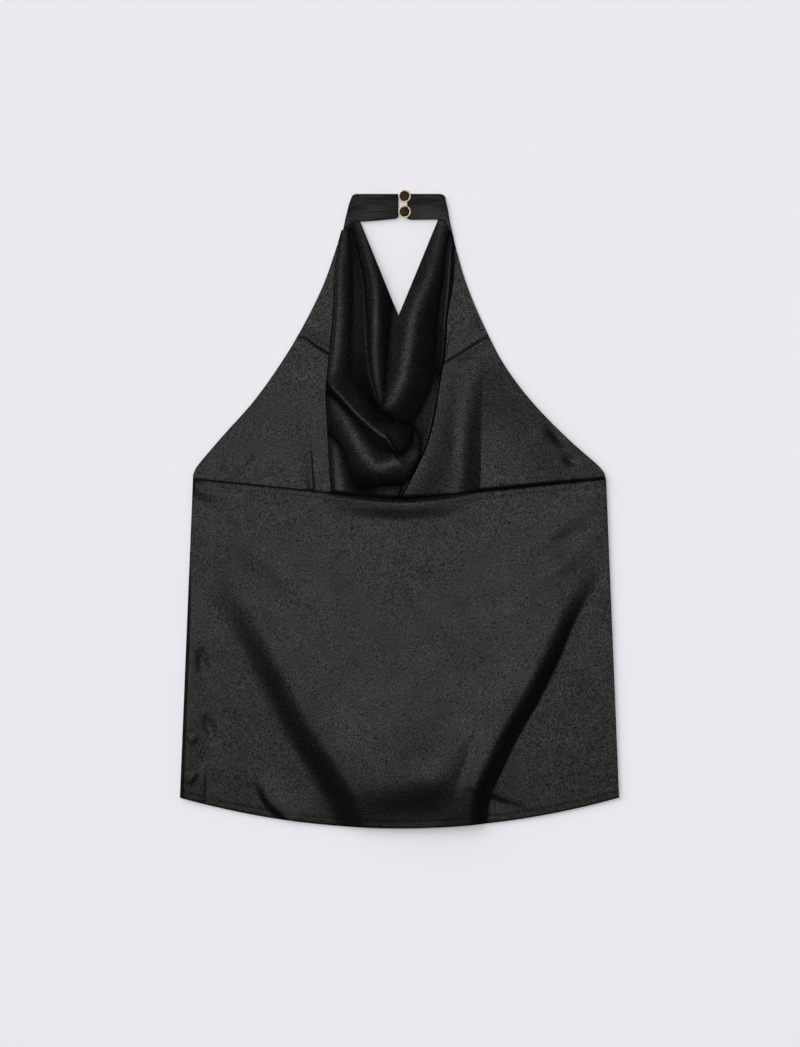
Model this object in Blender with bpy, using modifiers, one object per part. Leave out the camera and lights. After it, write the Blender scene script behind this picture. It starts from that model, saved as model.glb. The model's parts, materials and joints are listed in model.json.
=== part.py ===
"""Halter neck top in black satin, buttoned at the nape and laid flat with its front up.

The garment lies on the plane z = 0, with its neckband towards +Y and its hem towards -Y.
The back panel is flat on that plane. The front panel lies on the back panel, and the
bodice runs from the underbust seam up to the two halves of the neckband. Every cloth
piece is one closed wall, and its folds are heights read from the tables below.
Sizes are in millimetres, and MM turns them into Blender's metres.
"""
import math
from collections import namedtuple

import bmesh
import bpy
from mathutils import Vector

MM = 0.001

# Cloth and clearances
CLOTH = 1.3
BAND_CLOTH = 2.4
GAP = 0.3
BACK_CLOTH = 1.2
FRONT_LEVEL = BACK_CLOTH + GAP

# Overall sizes
LENGTH = 638.0
HEM_WIDTH = 439.0
UNDERARM_WIDTH = 413.0
HEM_Y = -LENGTH / 2
HEM_RADIUS = 805.0
UNDERARM_Y = 30.0
STRAP_TOP_Y = 288.0

# The underbust seam dips at the centre front and straightens towards the side seams.
UNDERBUST_LOW_Y = 10.7
UNDERBUST_SLOPE = 0.104
UNDERBUST_ROUND = 20.0

# The bodice climbs onto the back panel's top edge over this stretch of Y.
CLIMB_START_Y = 44.0
CLIMB_END_Y = 33.0

# Neckline: a V from the band to this point
NECK_POINT = (-1.0, 193.0)
NECK_LEFT_X = -39.5
NECK_RIGHT_X = 38.0

# Grid counts of the faceted cloth
BODICE_ROWS = 38
SIDE_ROWS_LEFT = 35
SIDE_ROWS_RIGHT = 36
SIDE_COLUMNS = 9
COWL_COLUMNS = 12
FRONT_COLUMNS = 32
FRONT_ROWS = 20
BACK_COLUMNS = 24
SETTLE_ROUNDS = 30

# Edges of the bodice, top to bottom: x, y
ARMHOLE_LEFT = ((-55.8, 287), (-64.5, 257), (-77.5, 221), (-98.5, 179), (-120.5, 143),
                (-146.5, 107), (-178.5, 71), (-203.5, 41), (-206.5, 30))
ARMHOLE_RIGHT = ((50.5, 287), (57.5, 257), (68.5, 221), (86.5, 179), (105.5, 143),
                 (132.5, 107), (167.5, 71), (201.0, 41), (206.0, 30))
COWL_EDGE_LEFT = ((-61.3, 268), (-65.5, 232), (-66.5, 200), (-70.5, 157), (-74.0, 118),
                  (-73.0, 90), (-71.0, 50), (-68.4, 10))
COWL_EDGE_RIGHT = ((56.3, 262), (53.8, 225), (48.5, 193), (46.4, 161), (41.5, 129),
                   (35.7, 94), (28.4, 65), (15.2, 36), (1.0, 8))

# Edges where the straps are sewn to the neckband, outer edge to neckline: x, y
BAND_SEAM_LEFT = ((-56.5, 279.0), (-50.2, 284.0), (-44.5, 287.5), (-39.5, 287.0))
BAND_SEAM_RIGHT = ((38.0, 289.3), (44.5, 288.6), (48.2, 282.4), (54.3, 270.5))

# The rest of each band's outline, from the neckline round to the outer end of its seam: x, y
BAND_EDGE_LEFT = ((-25.5, 288.0), (-5.5, 289.8), (-2.0, 290.8), (-1.0, 292.6), (-1.0, 315.0),
                  (-43.5, 315.0), (-46.8, 313.8), (-48.3, 311.0), (-50.5, 305.0), (-53.5, 293.0))
BAND_EDGE_RIGHT = ((50.5, 287.0), (48.5, 299.0), (46.6, 307.0), (45.8, 312.0),
                   (43.6, 314.3), (40.5, 315.0), (7.7, 315.0), (7.7, 290.2), (10.9, 289.0))

# Folds: a ridge is a rounded crest, a step is cloth that stands higher on its left side,
# seen along its path. Path columns: x, y, height
Ridge = namedtuple("Ridge", "name width path")
Step = namedtuple("Step", "name drop run path")

BODICE_FOLDS = (
    Ridge("neck_fold_left", 7.0, ((-38, 270, 1.0), (-25, 224, 4.0), (-24.5, 160, 5.5), (-20, 103, 4.5))),
    Ridge("neck_fold_right", 8.0, ((41, 275, 1.0), (20, 214, 4.0), (8, 160, 5.5), (-19, 99, 4.0))),
    Ridge("under_fold", 8.0, ((-60, 100, 0.8), (-38, 58, 3.6), (-17, 43, 4.2), (8, 52, 4.2), (23, 72, 2.5))),
    Ridge("groove_left", 8.0, ((-49, 255, -0.4), (-46, 159, -2.0), (-28, 100, -0.5))),
    Ridge("groove_right", 9.0, ((43, 262, -0.4), (34, 159, -3.0), (12, 64, -0.8))),
    Ridge("strap_fold_right", 3.0, ((50, 262, 0.8), (47.5, 196, 1.2), (45, 152, 0.3))),
    Step("cowl_edge", 4.0, 16.0, ((-74, 140, 1.5), (-60, 110, 4.5), (-29, 80, 4.5), (-1, 50, 1.5))),
    Step("drape_right", 4.0, 14.0, ((44, 145, 0.4), (35.7, 94, 3.0), (15, 36, 4.5), (1, 9, 3.5))),
    Step("dart_left", 2.5, 10.0, ((-99, 173, 0.9), (-84, 164, 1.3), (-72, 156.5, 1.0))),
    Step("dart_right", 2.5, 10.0, ((89, 173, 0.9), (65, 158, 1.3), (46, 146, 0.7))),
    Step("pleat_left", 2.5, 9.0, ((-69, 12, 1.2), (-71, 50, 1.2), (-74, 116, 0.3))),
    Step("tuck_left", 2.5, 8.0, ((-85.7, 14, 1.0), (-88, 50, 0.7), (-90.3, 76, 0.1))),
    Step("side_trough", 12.0, 14.0, ((83, 150, 0.2), (85, 110, 1.8), (81, 10, 3.0))),
)

FRONT_FOLDS = (
    Step("main_fold_right", 18.0, 70.0, ((78, -330, 3.0), (96, -245, 4.0), (148, -147, 3.4), (198, -46, 0.4))),
    Step("main_fold_left", 26.0, 70.0, ((-200, -55, 0.3), (-150, -135, 2.4), (-98, -233, 3.6), (-50, -328, 2.8))),
    Step("hem_fold_left", 5.0, 18.0, ((-145, -272, 0.1), (-132, -295, 1.4), (-113, -312, 1.6))),
    Ridge("under_seam_roll", 10.0, ((-120, 8, 0.6), (-30, -8, 1.0), (60, -6, 1.0), (130, 8, 0.6))),
)

# The cowl is thicker through its gathered middle: height, and width over which it rises
COWL_LIFT = 3.2
COWL_LIFT_RUN = 14.0

# Closure: two buttons on shanks, each held by a loop from the left end of the band
BAND_END_LEFT_X = -1.0
BUTTON_RADIUS = 6.25
BUTTON_X = 5.0
BUTTON_Y = {"upper": LENGTH / 2 - BUTTON_RADIUS, "lower": 297.2}
BUTTON_BASE = 0.8
BUTTON_EDGE = 0.4
BUTTON_SIDES = 40
RIM_WIDTH = 1.4
RIM_HEIGHT = 1.0
DOME_SIDE = 0.4
DOME_HEIGHT = 1.6
SHANK_RADIUS = 1.0
LOOP_CORD_RADIUS = 0.45
LOOP_LEVEL = 1.2

SATIN = (0.012, 0.012, 0.014, 1.0)
GOLD = (0.80, 0.58, 0.25, 1.0)
ENAMEL = (0.020, 0.016, 0.012, 1.0)


def clear_scene():
    """Remove every object that the startup file holds."""
    for item in list(bpy.data.objects):
        bpy.data.objects.remove(item, do_unlink=True)


def make_material(name, colour, roughness, metallic=0.0):
    """Return a plain Principled material."""
    material = bpy.data.materials.new(name)
    material.use_nodes = True
    shader = material.node_tree.nodes["Principled BSDF"]
    shader.inputs["Base Color"].default_value = colour
    shader.inputs["Roughness"].default_value = roughness
    shader.inputs["Metallic"].default_value = metallic
    return material


def blend(low, high, value):
    """Return a smooth 0 to 1 as value goes from low to high."""
    share = min(max((value - low) / (high - low), 0.0), 1.0)
    return share * share * (3.0 - 2.0 * share)


def smooth_path(points, steps=6):
    """Return the points of a Catmull-Rom curve through the given points."""
    knots = [Vector(point) for point in points]
    knots = [2 * knots[0] - knots[1]] + knots + [2 * knots[-1] - knots[-2]]
    curve = []
    for before, start, end, after in zip(knots, knots[1:], knots[2:], knots[3:]):
        for step in range(steps):
            t = step / steps
            bend = 2 * before - 5 * start + 4 * end - after
            twist = 3 * start - before - 3 * end + after
            curve.append(start + (end - before) * (t / 2) + bend * (t * t / 2) + twist * (t ** 3 / 2))
    curve.append(knots[-2])
    return curve


def edge_x(edge, y):
    """Return the x of an edge at a height y. The edge runs from top to bottom."""
    if y >= edge[0][1]:
        return edge[0][0]
    for start, end in zip(edge, edge[1:]):
        if y >= end[1]:
            share = (start[1] - y) / (start[1] - end[1])
            return start[0] + share * (end[0] - start[0])
    return edge[-1][0]


def seam_y(seam, x):
    """Return the y of a seam at x. The seam runs from left to right."""
    if x <= seam[0][0]:
        return seam[0][1]
    for start, end in zip(seam, seam[1:]):
        if x <= end[0]:
            share = (x - start[0]) / (end[0] - start[0])
            return start[1] + share * (end[1] - start[1])
    return seam[-1][1]


def underbust_y(x):
    """Return the y of the underbust seam."""
    return UNDERBUST_LOW_Y + UNDERBUST_SLOPE * (math.hypot(x, UNDERBUST_ROUND) - UNDERBUST_ROUND)


def hem_y(x):
    """Return the y of the curved hem."""
    return HEM_Y + HEM_RADIUS - math.sqrt(HEM_RADIUS ** 2 - x * x)


def side_x(y):
    """Return half the width of the front and back panels at y."""
    share = (UNDERARM_Y - y) / (UNDERARM_Y - hem_y(HEM_WIDTH / 2))
    return (UNDERARM_WIDTH + share * (HEM_WIDTH - UNDERARM_WIDTH)) / 2


def neck_x(side_top_x, y):
    """Return the x of the neckline, or of the centre line below it."""
    share = max(y - NECK_POINT[1], 0.0) / (STRAP_TOP_Y - NECK_POINT[1])
    return NECK_POINT[0] + share * (side_top_x - NECK_POINT[0])


def nearest_on_path(path, x, y):
    """Return the distance to a path, positive on its left, and the path's height there."""
    best = None
    for start, end in zip(path, path[1:]):
        along_x = end.x - start.x
        along_y = end.y - start.y
        share = ((x - start.x) * along_x + (y - start.y) * along_y) / (along_x ** 2 + along_y ** 2)
        share = min(max(share, 0.0), 1.0)
        off_x = x - start.x - share * along_x
        off_y = y - start.y - share * along_y
        distance = math.hypot(off_x, off_y)
        if best is None or distance < best[0]:
            side = 1.0 if along_x * off_y - along_y * off_x > 0 else -1.0
            best = (distance, side, start.z + share * (end.z - start.z))
    return best[0] * best[1], best[2]


def fold_height(fold, path, x, y):
    """Return what one fold adds to the cloth's height at x, y."""
    distance, height = nearest_on_path(path, x, y)
    if isinstance(fold, Ridge):
        return height * math.exp(-(distance / fold.width) ** 2)
    if distance > 0:
        return height * math.exp(-(distance / fold.run) ** 2)
    return height * blend(-fold.drop, 0.0, distance)


def make_relief(folds):
    """Return a function that gives the height of all the folds together."""
    paths = [(fold, smooth_path(fold.path)) for fold in folds]

    def relief(x, y):
        return sum(fold_height(fold, path, x, y) for fold, path in paths)
    return relief


def cowl_lift(x, y):
    """Return how far the gathered cowl stands off the surface."""
    left = blend(0.0, COWL_LIFT_RUN, x - edge_x(COWL_EDGE_LEFT, y))
    right = blend(0.0, COWL_LIFT_RUN, edge_x(COWL_EDGE_RIGHT, y) - x)
    low = blend(STRAP_TOP_Y, STRAP_TOP_Y - 60.0, y)
    return COWL_LIFT * left * right * low


def bodice_level(y):
    """Return the height of the surface under the bodice: the plane, then the back panel."""
    return FRONT_LEVEL * blend(CLIMB_START_Y, CLIMB_END_Y, y)


def add_object(name, mesh, collection, material):
    """Link a mesh as one named object with one material."""
    item = bpy.data.objects.new(name, mesh)
    mesh.materials.append(material)
    collection.objects.link(item)
    return item


def thicken(sheet, thickness):
    """Turn an open sheet into a closed wall that goes straight up by thickness."""
    floor_faces = list(sheet.faces)
    top = bmesh.ops.extrude_face_region(sheet, geom=floor_faces, use_keep_orig=True)
    risen = [item for item in top["geom"] if isinstance(item, bmesh.types.BMVert)]
    bmesh.ops.translate(sheet, verts=risen, vec=(0, 0, thickness * MM))
    bmesh.ops.recalc_face_normals(sheet, faces=sheet.faces)


def place_grid(sheet, columns, rows, place):
    """Add a grid whose unit square is mapped by place(u, v) to x, y, z in millimetres."""
    grid = bmesh.ops.create_grid(sheet, x_segments=columns, y_segments=rows, size=0.5)
    for vertex in grid["verts"]:
        point = place(vertex.co.x + 0.5, vertex.co.y + 0.5)
        vertex.co = Vector(point) * MM


def finish_cloth(name, sheet, thickness, collection, material):
    """Thicken a placed sheet and link it as a smooth object."""
    thicken(sheet, thickness)
    mesh = bpy.data.meshes.new(name)
    sheet.to_mesh(mesh)
    sheet.free()
    item = add_object(name, mesh, collection, material)
    mesh.shade_smooth()
    mesh.set_sharp_from_angle(angle=math.radians(50))
    return item


def settle(left, right, bottom, top, u, v):
    """Return the x, y where column u meets row v between two edges and two seams."""
    y = UNDERBUST_LOW_Y + v * (STRAP_TOP_Y - UNDERBUST_LOW_Y)
    x = 0.0
    for _ in range(SETTLE_ROUNDS):
        x = left(y) + u * (right(y) - left(y))
        y = bottom(x) + v * (top(x) - bottom(x))
    return x, y


def make_side_panel(name, outer, inner, seam_end_y, rows, relief, collection, material):
    """Make a side of the bodice, from its armhole edge to its seam with the cowl."""
    outward = math.copysign(GAP, inner[0][0])
    reach = rows / BODICE_ROWS

    def place(u, v):
        x, y = settle(
            lambda y: edge_x(outer, y),
            lambda y: edge_x(inner, y) + outward,
            lambda x: underbust_y(x) + GAP / 2,
            lambda x: seam_end_y - GAP,
            1 - (1 - u) ** 1.5, v * reach)
        return x, y, bodice_level(y) + max(relief(x, y), 0.0)

    sheet = bmesh.new()
    place_grid(sheet, SIDE_COLUMNS, rows, place)
    return finish_cloth(name, sheet, CLOTH, collection, material)


def add_cowl_half(sheet, armhole, cowl_edge, side_rows, neck_top_x, seam, relief):
    """Add the half of the cowl between an outer edge and the neckline and centre line."""
    seam = sorted(seam)
    side_top = (side_rows + 0.5) / BODICE_ROWS

    def top(x):
        tilt = blend(NECK_POINT[0], neck_top_x, x)
        return STRAP_TOP_Y + tilt * (seam_y(seam, x) - STRAP_TOP_Y) - GAP

    def place(u, v):
        outer = armhole if v > side_top else cowl_edge
        x, y = settle(
            lambda y: edge_x(outer, y),
            lambda y: neck_x(neck_top_x, y),
            lambda x: underbust_y(x) + GAP / 2,
            top,
            u, v)
        height = max(relief(x, y) + cowl_lift(x, y), 0.0)
        return x, y, bodice_level(y) + height

    place_grid(sheet, COWL_COLUMNS, BODICE_ROWS, place)


def make_cowl(relief, collection, material):
    """Make the cowl front: two straps that join under the neckline and hang in folds."""
    sheet = bmesh.new()
    add_cowl_half(sheet, ARMHOLE_LEFT, COWL_EDGE_LEFT, SIDE_ROWS_LEFT, NECK_LEFT_X,
                  BAND_SEAM_LEFT, relief)
    add_cowl_half(sheet, ARMHOLE_RIGHT, COWL_EDGE_RIGHT, SIDE_ROWS_RIGHT, NECK_RIGHT_X,
                  BAND_SEAM_RIGHT, relief)
    bmesh.ops.remove_doubles(sheet, verts=sheet.verts, dist=0.05 * MM)
    bmesh.ops.recalc_face_normals(sheet, faces=sheet.faces)
    return finish_cloth("cowl", sheet, CLOTH, collection, material)


def make_front_panel(relief, collection, material):
    """Make the lower front, from the underbust seam to the curved hem."""
    def place(u, v):
        x, y = settle(lambda y: -side_x(y), side_x, hem_y, lambda x: underbust_y(x) - GAP / 2, u, v)
        return x, y, FRONT_LEVEL + max(relief(x, y), 0.0)

    sheet = bmesh.new()
    place_grid(sheet, FRONT_COLUMNS, FRONT_ROWS, place)
    return finish_cloth("front_panel", sheet, CLOTH, collection, material)


def make_back_panel(collection, material):
    """Make the flat back, whose straight top edge lies under the bodice."""
    def place(u, v):
        x, y = settle(lambda y: -side_x(y), side_x, hem_y, lambda x: UNDERARM_Y, u, v)
        return x, y, 0.0

    sheet = bmesh.new()
    place_grid(sheet, BACK_COLUMNS, 1, place)
    return finish_cloth("back_panel", sheet, BACK_CLOTH, collection, material)


def make_neckband(name, outline, collection, material):
    """Make one half of the neckband, two layers of cloth pressed flat."""
    curve = bpy.data.curves.new(name, "CURVE")
    curve.dimensions = "2D"
    curve.fill_mode = "BOTH"
    curve.extrude = BAND_CLOTH / 2 * MM
    spline = curve.splines.new("POLY")
    spline.points.add(len(outline) - 1)
    spline.use_cyclic_u = True
    for knot, (x, y) in zip(spline.points, outline):
        knot.co = (x * MM, y * MM, 0.0, 1.0)
    item = add_object(name, curve, collection, material)
    item.location.z = BAND_CLOTH / 2 * MM
    return item


def make_turned(name, profile, place, collection, material):
    """Turn a profile of radius, height pairs, given from the top down its outer side."""
    mesh = bpy.data.meshes.new(name)
    corners = [(radius * MM, 0.0, height * MM) for radius, height in profile]
    mesh.from_pydata(corners, [(i, i + 1) for i in range(len(corners) - 1)], [])
    item = add_object(name, mesh, collection, material)
    item.location = Vector(place) * MM
    screw = item.modifiers.new("turn", "SCREW")
    screw.steps = BUTTON_SIDES
    screw.render_steps = BUTTON_SIDES
    screw.use_merge_vertices = True
    screw.merge_threshold = 0.01 * MM
    screw.use_smooth_shade = True
    return item


def make_button(place_name, y, collection, metal, enamel):
    """Make a button: a rimmed metal cup on a shank, with a dark dome set in it."""
    underside = BAND_CLOTH + GAP
    floor = underside + BUTTON_BASE
    rim_top = floor + RIM_HEIGHT
    cup = BUTTON_RADIUS - RIM_WIDTH
    profile = (
        (0.0, floor), (cup, floor), (cup, rim_top - BUTTON_EDGE / 2), (cup + BUTTON_EDGE / 2, rim_top),
        (BUTTON_RADIUS - BUTTON_EDGE, rim_top), (BUTTON_RADIUS, rim_top - BUTTON_EDGE),
        (BUTTON_RADIUS, underside + BUTTON_EDGE), (BUTTON_RADIUS - BUTTON_EDGE, underside),
        (SHANK_RADIUS, underside), (SHANK_RADIUS, GAP), (0.0, GAP))
    make_turned("button_" + place_name, profile, (BUTTON_X, y, 0.0), collection, metal)

    seat = floor + GAP
    dome = cup - GAP
    arc = [(dome * math.sin(turn), seat + DOME_SIDE + (DOME_HEIGHT - DOME_SIDE) * math.cos(turn))
           for turn in (math.radians(15 * step) for step in range(7))]
    make_turned("dome_" + place_name, arc + [(dome, seat), (0.0, seat)], (BUTTON_X, y, 0.0),
                collection, enamel)


def make_loop(place_name, y, collection, material):
    """Make the cord loop that holds a button's shank from the left end of the band."""
    bend = SHANK_RADIUS + GAP + LOOP_CORD_RADIUS
    start_x = BAND_END_LEFT_X + GAP
    turns = [math.radians(90 - 22.5 * step) for step in range(9)]
    route = [(start_x, y + bend)]
    route += [(BUTTON_X + bend * math.cos(turn), y + bend * math.sin(turn)) for turn in turns]
    route += [(start_x, y - bend)]
    curve = bpy.data.curves.new("loop_" + place_name, "CURVE")
    curve.dimensions = "3D"
    curve.bevel_depth = LOOP_CORD_RADIUS * MM
    curve.bevel_resolution = 2
    curve.use_fill_caps = True
    spline = curve.splines.new("POLY")
    spline.points.add(len(route) - 1)
    for knot, (x, y) in zip(spline.points, route):
        knot.co = (x * MM, y * MM, LOOP_LEVEL * MM, 1.0)
    return add_object("loop_" + place_name, curve, collection, material)


def main():
    clear_scene()
    top = bpy.data.collections.new("halter_neck_top")
    bpy.context.scene.collection.children.link(top)
    satin = make_material("black_satin", SATIN, 0.45)
    metal = make_material("gold_metal", GOLD, 0.25, metallic=1.0)
    enamel = make_material("dark_enamel", ENAMEL, 0.12)

    bodice = make_relief(BODICE_FOLDS)
    make_back_panel(top, satin)
    make_front_panel(make_relief(FRONT_FOLDS), top, satin)
    make_side_panel("side_left", ARMHOLE_LEFT, COWL_EDGE_LEFT, BAND_SEAM_LEFT[0][1],
                    SIDE_ROWS_LEFT, bodice, top, satin)
    make_side_panel("side_right", ARMHOLE_RIGHT, COWL_EDGE_RIGHT, BAND_SEAM_RIGHT[-1][1],
                    SIDE_ROWS_RIGHT, bodice, top, satin)
    make_cowl(bodice, top, satin)
    make_neckband("neckband_left", BAND_SEAM_LEFT + BAND_EDGE_LEFT, top, satin)
    make_neckband("neckband_right", BAND_SEAM_RIGHT + BAND_EDGE_RIGHT, top, satin)
    for place_name, y in BUTTON_Y.items():
        make_button(place_name, y, top, metal, enamel)
        make_loop(place_name, y, top, satin)


main()
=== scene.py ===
"""Looks of a halter neck top in black satin, laid flat with its front up.

Every cloth piece is a thin closed shell on the form of its solid: its cut comes from the
edges and seams below, and its folds are heights read from the fold tables. Edges, seams
and folds are in millimetres on the plane that the top lies on, with +Y towards the
neckband. MM turns them into metres.
"""
import json
import math
from collections import namedtuple

import bmesh
import bpy
import numpy as np
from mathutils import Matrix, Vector

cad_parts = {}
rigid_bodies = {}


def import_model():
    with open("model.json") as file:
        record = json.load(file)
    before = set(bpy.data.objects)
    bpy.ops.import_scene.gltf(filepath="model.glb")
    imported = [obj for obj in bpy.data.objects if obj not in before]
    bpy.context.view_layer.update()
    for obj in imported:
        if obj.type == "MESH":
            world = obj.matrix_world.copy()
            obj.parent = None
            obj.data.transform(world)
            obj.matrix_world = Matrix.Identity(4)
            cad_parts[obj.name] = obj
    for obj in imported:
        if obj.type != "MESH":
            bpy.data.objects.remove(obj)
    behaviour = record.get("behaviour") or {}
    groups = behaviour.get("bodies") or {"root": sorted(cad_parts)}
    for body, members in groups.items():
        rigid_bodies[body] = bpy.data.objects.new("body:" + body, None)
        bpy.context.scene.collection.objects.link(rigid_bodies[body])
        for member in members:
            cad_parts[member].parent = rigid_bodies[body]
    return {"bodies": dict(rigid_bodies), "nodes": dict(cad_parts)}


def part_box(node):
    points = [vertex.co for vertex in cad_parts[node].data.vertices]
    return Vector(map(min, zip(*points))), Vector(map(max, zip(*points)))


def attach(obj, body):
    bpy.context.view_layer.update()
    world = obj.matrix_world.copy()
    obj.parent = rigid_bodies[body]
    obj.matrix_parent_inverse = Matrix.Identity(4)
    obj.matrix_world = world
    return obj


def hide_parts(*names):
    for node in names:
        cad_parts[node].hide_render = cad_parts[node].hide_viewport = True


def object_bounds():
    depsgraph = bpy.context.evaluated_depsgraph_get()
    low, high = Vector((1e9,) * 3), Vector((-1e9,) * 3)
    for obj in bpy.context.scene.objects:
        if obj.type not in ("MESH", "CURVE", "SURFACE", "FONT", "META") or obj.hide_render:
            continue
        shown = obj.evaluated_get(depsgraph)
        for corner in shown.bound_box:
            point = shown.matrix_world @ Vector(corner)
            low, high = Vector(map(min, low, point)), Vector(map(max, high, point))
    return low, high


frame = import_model()
CAD_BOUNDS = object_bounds()

bl_info = {
    "name": "Halter Neck Top",
    "version": (1, 0, 0),
    "blender": (4, 5, 0),
    "location": "3D View > Sidebar > Halter Top",
    "description": "Builds a black satin halter neck top around its solid parts",
    "category": "Add Mesh",
}

MM = 0.001

# Cut of the garment
HALF_LENGTH = 319.0
HEM_Y = -HALF_LENGTH
HEM_RADIUS = 805.0
HEM_HALF_WIDTH = 219.5
UNDERARM_HALF_WIDTH = 206.5
UNDERARM_Y = 30.0
STRAP_TOP_Y = 288.0
UNDERBUST_LOW_Y = 10.7
UNDERBUST_SLOPE = 0.104
UNDERBUST_ROUND = 20.0
NECK_POINT = (-1.0, 193.0)
NECK_LEFT_X = -39.5
NECK_RIGHT_X = 38.0

# Edges of the bodice, top to bottom: x, y
ARMHOLE_LEFT = ((-55.8, 287), (-64.5, 257), (-77.5, 221), (-98.5, 179), (-120.5, 143),
                (-146.5, 107), (-178.5, 71), (-203.5, 41), (-206.5, 30))
ARMHOLE_RIGHT = ((50.5, 287), (57.5, 257), (68.5, 221), (86.5, 179), (105.5, 143),
                 (132.5, 107), (167.5, 71), (201.0, 41), (206.0, 30))
COWL_EDGE_LEFT = ((-61.3, 268), (-65.5, 232), (-66.5, 200), (-70.5, 157), (-74.0, 118),
                  (-73.0, 90), (-71.0, 50), (-68.4, 10))
COWL_EDGE_RIGHT = ((56.3, 262), (53.8, 225), (48.5, 193), (46.4, 161), (41.5, 129),
                   (35.7, 94), (28.4, 65), (15.2, 36), (1.0, 8))

# Edges where the straps are sewn to the neckband, left to right: x, y
BAND_SEAM_LEFT = ((-56.5, 279.0), (-50.2, 284.0), (-44.5, 287.5), (-39.5, 287.0))
BAND_SEAM_RIGHT = ((38.0, 289.3), (44.5, 288.6), (48.2, 282.4), (54.3, 270.5))
BAND_EDGE_LEFT = ((-25.5, 288.0), (-5.5, 289.8), (-2.0, 290.8), (-1.0, 292.6), (-1.0, 315.0),
                  (-43.5, 315.0), (-46.8, 313.8), (-48.3, 311.0), (-50.5, 305.0), (-53.5, 293.0))
BAND_EDGE_RIGHT = ((50.5, 287.0), (48.5, 299.0), (46.6, 307.0), (45.8, 312.0),
                   (43.6, 314.3), (40.5, 315.0), (7.7, 315.0), (7.7, 290.2), (10.9, 289.0))

# Folds. A ridge is a rounded crest that adds to the cloth. A step is cloth that stands
# higher on the left of its path, drops beside it over `drop` and sinks back behind over
# `run`; `turn` says where the drop is crisp. A roof is a crest of radius `crest` whose
# sides fall at `slope`; where two roofs meet, the higher one shows, which leaves a sharp
# valley between them.
# Path columns: x, y, height
Ridge = namedtuple("Ridge", "name width path")
Step = namedtuple("Step", "name turn drop run path")
Roof = namedtuple("Roof", "name crest slope path")

COWL_ROOFS = (
    Roof("outer_roll", 11.0, 0.38, (
        (-57, 275, 0.8), (-60.5, 232, 3.2), (-61, 196, 4.6), (-63.5, 160, 5.6), (-66.5, 139, 6.2),
        (-64, 126, 6.6), (-52, 112, 7.0), (-38, 97, 7.0), (-24, 84, 7.0), (-10, 73, 6.6),
        (-1, 60, 5.6), (2, 52, 4.0))),
    Roof("neck_fold_left", 9.0, 0.45, (
        (-41, 284, 1.5), (-36, 270, 2.8), (-29, 245, 4.6), (-24.8, 224, 6.0), (-23.9, 196, 7.2),
        (-24.8, 158, 8.0), (-23, 130, 8.2), (-20, 106, 7.8), (-19, 98, 7.0))),
    Roof("strap_ridge_left", 2.2, 0.38, (
        (-48.5, 277, 0.4), (-43.5, 259, 1.8), (-37.1, 229, 4.0), (-35.1, 199, 5.8), (-33.9, 169, 7.2),
        (-32.9, 153, 7.6), (-29.5, 133, 8.0), (-24.5, 115, 8.2), (-20.8, 104, 7.8))),
    Roof("neck_fold_right", 12.0, 0.37, (
        (41.5, 285, 1.5), (35.5, 257, 3.4), (29.3, 233.5, 5.2), (19.5, 211, 6.8), (12.2, 188, 7.6),
        (8.5, 164, 8.2), (2.2, 130, 8.8), (-8, 110, 8.4), (-17, 101, 7.4), (-19.5, 97, 6.8))),
    Roof("strap_edge", 2.5, 0.40, (
        (52, 270, 1.8), (50.5, 250, 3.4), (48.5, 219, 4.2), (47, 190, 4.2), (45, 160, 3.6),
        (41.5, 129.5, 2.6), (37, 100, 0.5))),
    Roof("groove_wall", 2.0, 0.30, (
        (48.5, 210, 1.6), (48.5, 186, 2.4), (48, 165, 3.0), (45.5, 129.5, 4.0), (39.5, 94, 6.2),
        (32.5, 66, 6.0), (20.5, 38, 4.4), (6, 12, 3.2))),
    Roof("under_fold", 12.0, 0.32, (
        (-72, 124, 4.6), (-63, 104, 5.4), (-52, 85, 5.8), (-38, 59, 6.2), (-26.7, 45, 6.4),
        (-17.5, 42, 6.4), (-6, 46.3, 6.2), (5, 48.2, 5.8), (15, 57, 4.6), (21, 66, 3.0))),
    Roof("lower_pleat", 10.0, 0.32, ((-68, 80, 1.6), (-64, 56, 3.6), (-60, 12, 4.2))),
    Roof("lower_centre", 16.0, 0.22, ((-20, 36, 4.0), (-12, 20, 2.8), (-5, 6, 1.6))),
)

COWL_FOLDS = (
    Step("cowl_edge", "crisp foot", 1.2, 7.0, (
        (-72.8, 156, 0.0), (-74.3, 138, 0.8), (-71.5, 124, 1.6), (-59.5, 110.5, 2.0),
        (-43.5, 93, 2.0), (-28.8, 79.7, 2.0), (-14.5, 68, 1.8), (-5, 56, 1.6), (-1, 50.3, 0.8))),
    Ridge("pinch", 1.8, ((-14.5, 76, 0.0), (-10, 66, 1.3), (-4, 57, 1.3), (0, 50, 0.0))),
)

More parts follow.
